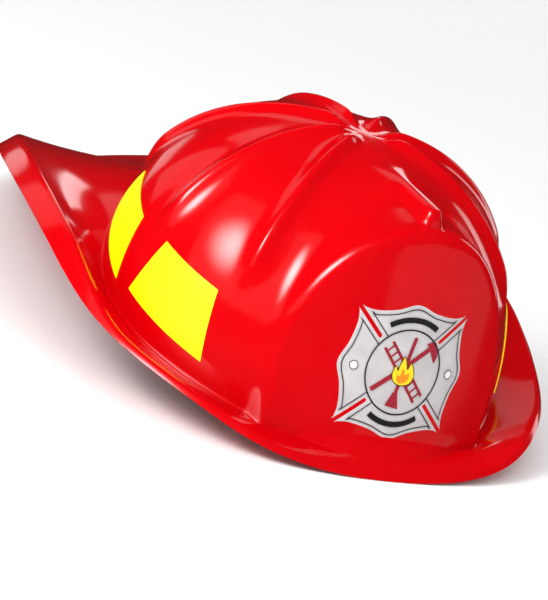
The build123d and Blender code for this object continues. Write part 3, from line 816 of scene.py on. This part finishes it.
class HELMET_OT_badge(bpy.types.Operator):
    """Lays the silver label on the shield and prints its lines and plain emblem"""

    bl_idname = "helmet.badge"
    bl_label = "Badge"

    def execute(self, context):
        finish, shape = context.scene.helmet_finish, context.scene.helmet_shape
        line = shape.line_width / MM
        black = ink_material("Ink black screen printed", "#151517", "#202023")
        red = ink_material("Ink dark red screen printed", "#98152B", "#A81C33")
        yellow = ink_material("Ink yellow screen printed", "#F6D500", "#FFE21A")
        orange = ink_material("Ink orange screen printed", "#F08A00", "#F79A12")
        white = ink_material("Ink white screen printed", "#E8E8E8", "#F4F4F4")

        film = patch("badge_film", badge_outline(), FILM_GAP)
        film = print_layer("badge_film", [film], FILM, silver_material(finish))
        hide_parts("front_badge")

        top = FILM_GAP + FILM
        ladder_way = np.array([cos(LADDER_LEAN), sin(LADDER_LEAN)])
        ladder_side = np.array([-ladder_way[1], ladder_way[0]]) * LADDER_HALF_WIDTH
        tools = []
        for side in (-1, 1):
            rail = [ladder_way * s + ladder_side * side for s in (-LADDER_HALF_LENGTH, LADDER_HALF_LENGTH)]
            tools.append(ribbon("rail", np.array(rail) * EMBLEM, 1.3, top + 0.04))
        for s in np.arange(-12.4, 12.6, RUNG_GAP):
            rung = [ladder_way * s + ladder_side * side for side in (-1, 1)]
            tools.append(ribbon("rung", np.array(rung) * EMBLEM, 0.8, top + 0.05))
        tools.append(ribbon("handle", np.array(AXE_HANDLE) * EMBLEM, 2.2, top + 0.06))
        tools.append(patch("axe", np.array(AXE_HEAD[:-1]) * EMBLEM, top + 0.07))
        tools.append(ribbon("pole", np.array(POLE) * EMBLEM, 1.8, top + 0.06))
        tools.append(patch("nozzle", np.array(NOZZLE) * EMBLEM, top + 0.07))
        print_layer("badge_tools", tools, INK, red)

        flame, heart = round_path(FLAME, 6) * EMBLEM, round_path(FLAME_HEART, 6) * EMBLEM
        print_layer("badge_flame", [patch("flame", flame[:-1], top + 0.10)], INK, yellow)
        print_layer("badge_flame_heart", [patch("heart", heart[:-1], top + 0.12)], INK, orange)

        lines = [ribbon("ring", arc_path(BADGE_RING, 0, 360, 97), 1.5 * line, top + 0.10)]
        lines += [ribbon("arm", arm_line(turns), line, top + 0.08) for turns in range(4)]
        lines.append(ribbon("flame_line", flame, 0.8 * line, top + 0.14))
        for start, end in BADGE_BARS:
            lines.append(ribbon("bar", arc_path(BADGE_RING + 4.4, start, end), 2.5, top + 0.08))
        dots = []
        for x in (-BADGE_RING - DOT_OUT, BADGE_RING + DOT_OUT):
            rim = arc_path(DOT_RADIUS, 0, 360, 33) + (x, 0)
            lines.append(ribbon("dot_line", rim, 0.8 * line, top + 0.12))
            dots.append(patch("dot", rim[:-1], top + 0.10))
        print_layer("badge_lines", lines, INK, black)
        print_layer("badge_dots", dots, INK, white)
        return {"FINISHED"}


class HELMET_OT_suspension(bpy.types.Operator):
    """Rounds and finishes the bands, straps, blocks, studs and rivets"""

    bl_idname = "helmet.suspension"
    bl_label = "Suspension"

    def execute(self, context):
        finish, shape = context.scene.helmet_finish, context.scene.helmet_shape
        band = moulded_material("Polyethylene moulded natural", "#DEDCD3", finish.band, 0.42, 0.25)
        stud = moulded_material("Nylon moulded black", "#141416", finish.stud, 0.38, 0.0)
        bodies = {node: body for body, nodes in frame["record"]["behaviour"]["bodies"].items() for node in nodes}
        for sub in frame["record"]["subparts"]:
            node, slot = sub["node"], sub["material_slot"]
            if slot not in ("band", "strap", "stud"):
                continue
            piece = node_copy(node, f"{node}_moulding")
            add_modifier(piece, "BEVEL", width=shape.edge_round, segments=2, limit_method="ANGLE",
                         angle_limit=radians(35), harden_normals=False)
            smooth(piece)
            finish_piece(piece, bodies[node], stud if slot == "stud" else band, slot, node)
        return {"FINISHED"}


class HELMET_OT_pads(bpy.types.Operator):
    """Swells the brow and crown pads from their CAD blocks as soft foam"""

    bl_idname = "helmet.pads"
    bl_label = "Foam pads"

    def execute(self, context):
        material = foam_material(context.scene.helmet_finish)
        for node, voxel in (("brow_pad", 1.3), ("crown_pad", 1.5)):
            pad = node_copy(node, f"{node}_foam")
            add_modifier(pad, "REMESH", mode="VOXEL", voxel_size=voxel * MM)
            add_modifier(pad, "SMOOTH", factor=0.5, iterations=4)
            smooth(pad, 60)
            finish_piece(pad, "helmet", material, "foam", node)
        return {"FINISHED"}


# Each card: name, azimuth, elevation, width, height, brightness at its edge, added at its middle, how wide.
LIGHT_CARDS = (
    ("key_softbox", -71, 35, 1.1, 1.3, 0.4, 22.0, 0.5),
    ("front_card", 42, -1, 1.35, 0.42, 0.28),
    ("right_strip", 104, 12, 0.25, 0.8, 2.2),
    ("rear_card", 142, 20, 0.3, 0.3, 2.5),
    ("tail_card", 178, 6, 0.35, 0.25, 1.0),
    ("tail_lip_card", -158, 30, 0.5, 0.9, 0.45),
    ("back_card", 165, 44, 0.7, 0.5, 0.5),
)
CARD_DISTANCE = 1.4
FILL_FROM = (-30, 50)
FILL_DISTANCE = 2.4
ROOM_LIGHT = 0.86        # what the room adds to dull surfaces
ROOM_REFLECTED = 0.02    # what it shows in gloss, so that only the cards are reflected
CAMERA_AZIMUTH = -35.5
CAMERA_ROLL = 20.2
CAMERA_BACK = (-0.54538, -0.76576, 0.34084)      # from the helmet to the camera, before the helmet is tipped
CAMERA_AIM = (0, 2.44, 11.02)                    # millimetres, in the shell's own form
CAMERA_LEFT = 5.71
CAMERA_UP = 18.57


def direction(azimuth, elevation):
    """Unit vector out from the helmet. Azimuth 0 is its front and 90 its left."""
    turn, climb = radians(azimuth), radians(elevation)
    return Vector((sin(turn) * cos(climb), -cos(turn) * cos(climb), sin(climb)))


def light_card(name, azimuth, elevation, width, height, edge, middle=None, heart=0.3):
    """A glowing panel that faces the helmet. edge and middle are its brightness there."""
    clear_selection()
    bpy.ops.mesh.primitive_grid_add(x_subdivisions=2, y_subdivisions=2, size=1)
    card = bpy.context.object
    card.name = card.data.name = name
    centre = Vector((0, 0, 0.05))
    way = direction(azimuth, elevation)
    basis = way.to_track_quat("Z", "Y").to_matrix().to_4x4()
    basis.translation = centre + way * CARD_DISTANCE
    card.data.transform(basis @ Matrix.Diagonal((width, height, 1, 1)))
    material = bpy.data.materials.new(name)
    material.use_nodes = True
    tree = material.node_tree
    tree.nodes.clear()
    glow = add_node(tree, "ShaderNodeEmission", {"Strength": edge})
    if middle:
        place = add_node(tree, "ShaderNodeTexCoord").outputs["Object"]
        away = add_node(tree, "ShaderNodeVectorMath", {0: place, 1: basis.translation}, operation="DISTANCE")
        fall = add_node(tree, "ShaderNodeMapRange", {
            "Value": away.outputs["Value"], "From Min": 0.0, "From Max": heart, "To Min": 1.0, "To Max": 0.0,
        }, interpolation_type="SMOOTHERSTEP")
        power = add_node(tree, "ShaderNodeMath", {
            0: fall.outputs[0], 1: middle, 2: edge,
        }, operation="MULTIPLY_ADD")
        tree.links.new(power.outputs[0], glow.inputs["Strength"])
    add_node(tree, "ShaderNodeOutputMaterial", {"Surface": glow.outputs[0]})
    card.data.materials.append(material)
    card.visible_camera = card.visible_shadow = False


class HELMET_OT_stage(bpy.types.Operator):
    """Sets the floor, the soft studio lights and the camera"""

    bl_idname = "helmet.stage"
    bl_label = "Stage"

    def execute(self, context):
        stage, scene = context.scene.helmet_stage, context.scene
        scene.view_settings.view_transform = "Standard"
        floor_material = new_material("Paper sweep pale", {
            "Base Color": linear(stage.floor), "Roughness": 0.9, "Specular IOR Level": 0.1,
        })[0]
        clear_selection()
        bpy.ops.mesh.primitive_grid_add(x_subdivisions=8, y_subdivisions=8, size=12.0)
        floor = context.object
        floor.name = "floor"
        floor.data.materials.append(floor_material)
        floor.visible_glossy = False

        world = bpy.data.worlds.new("Studio")
        scene.world = world
        world.use_nodes = True
        tree = world.node_tree
        tree.nodes.clear()
        glossy = add_node(tree, "ShaderNodeLightPath").outputs["Is Glossy Ray"]
        room = add_node(tree, "ShaderNodeMix", {0: glossy, 2: ROOM_LIGHT, 3: ROOM_REFLECTED}, data_type="FLOAT")
        sky = add_node(tree, "ShaderNodeBackground", {"Strength": room.outputs[0]})
        add_node(tree, "ShaderNodeOutputWorld", {"Surface": sky.outputs[0]})

        for card in LIGHT_CARDS:
            light_card(*card)
        light = bpy.data.lights.new("fill_softbox", "AREA")
        light.shape, light.size, light.size_y, light.energy = "RECTANGLE", 1.6, 1.2, 16
        fill = bpy.data.objects.new("fill_softbox", light)
        context.collection.objects.link(fill)
        fill.location = direction(*FILL_FROM) * FILL_DISTANCE
        fill.rotation_euler = direction(*FILL_FROM).to_track_quat("Z", "Y").to_euler()
        fill.visible_glossy = False

        azimuth, roll = radians(CAMERA_AZIMUTH), radians(CAMERA_ROLL)
        back = np.array(CAMERA_BACK)
        right = np.array([cos(azimuth), sin(azimuth), 0.0])
        up = np.cross(back, right)
        image_right = cos(roll) * right + sin(roll) * up
        image_up = -sin(roll) * right + cos(roll) * up
        start = np.array(CAMERA_AIM) - image_right * CAMERA_LEFT + image_up * CAMERA_UP
        camera_data = bpy.data.cameras.new("camera")
        camera_data.sensor_width = 36.0
        camera_data.lens = stage.lens
        camera_data.clip_start, camera_data.clip_end = 0.1, 50.0
        camera = bpy.data.objects.new("camera", camera_data)
        context.collection.objects.link(camera)
        turned = [Vector(TURN @ axis) for axis in (image_right, image_up, back)]
        spot = Vector(placed([start])[0]) + turned[2] * stage.distance
        basis = Matrix([(turned[0][i], turned[1][i], turned[2][i], spot[i]) for i in range(3)] + [(0, 0, 0, 1)])
        camera.matrix_world = basis
        scene.camera = camera
        return {"FINISHED"}


class HELMET_PT_panel(bpy.types.Panel):
    """Lists the helmet's settings and builders"""

    bl_idname = "HELMET_PT_panel"
    bl_label = "Firefighter helmet"
    bl_space_type = "VIEW_3D"
    bl_region_type = "UI"
    bl_category = "Helmet"

    def draw(self, context):
        for group in ("helmet_shape", "helmet_finish", "helmet_stage"):
            settings = getattr(context.scene, group)
            box = self.layout.box()
            for name in settings.__annotations__:
                box.prop(settings, name)
        for operator in BUILDERS:
            self.layout.operator(operator.bl_idname)


GROUPS = {"helmet_shape": HelmetShape, "helmet_finish": HelmetFinish, "helmet_stage": HelmetStage}
BUILDERS = (HELMET_OT_shell, HELMET_OT_stripes, HELMET_OT_badge, HELMET_OT_suspension, HELMET_OT_pads,
            HELMET_OT_stage)


def register():
    for cls in (*GROUPS.values(), *BUILDERS, HELMET_PT_panel):
        bpy.utils.register_class(cls)
    for name, group in GROUPS.items():
        setattr(bpy.types.Scene, name, bpy.props.PointerProperty(type=group))


def unregister():
    for name in GROUPS:
        delattr(bpy.types.Scene, name)
    for cls in (HELMET_PT_panel, *reversed(BUILDERS), *reversed(GROUPS.values())):
        bpy.utils.unregister_class(cls)


def main():
    register()
    bpy.ops.helmet.shell()
    bpy.ops.helmet.stripes()
    bpy.ops.helmet.badge()
    bpy.ops.helmet.suspension()
    bpy.ops.helmet.pads()
    bpy.ops.helmet.stage()


if __name__ == "__main__":
    main()
